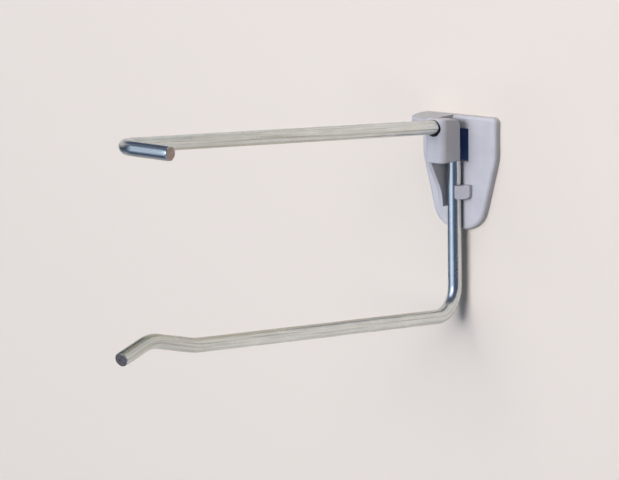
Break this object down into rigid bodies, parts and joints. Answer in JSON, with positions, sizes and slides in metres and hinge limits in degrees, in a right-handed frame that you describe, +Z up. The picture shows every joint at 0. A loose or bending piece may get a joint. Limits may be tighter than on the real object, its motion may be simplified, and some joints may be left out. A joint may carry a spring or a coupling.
{
  "type": "pegboard hook",
  "caption": "Pegboard display hook: a bent steel wire with a long lower arm for hanging goods and a parallel upper arm with a side leg, held in a moulded plastic back with pegs.",
  "frame": {"origin": "on the back plate's rear face, midway between the two pegs, at the height of the pegs' axes", "axes": "+Z up, +Y into the board, so that the arms reach out along -Y, and +X to the right of someone who faces the board"},
  "size_m": [0.0394, 0.217, 0.0899],
  "materials": {
    "plated_wire": "satin",
    "grey_plastic": "matte"
  },
  "bodies": {
    "root": {"wire_hook": "plated_wire", "back_plate": "grey_plastic"}
  },
  "joints": []
}
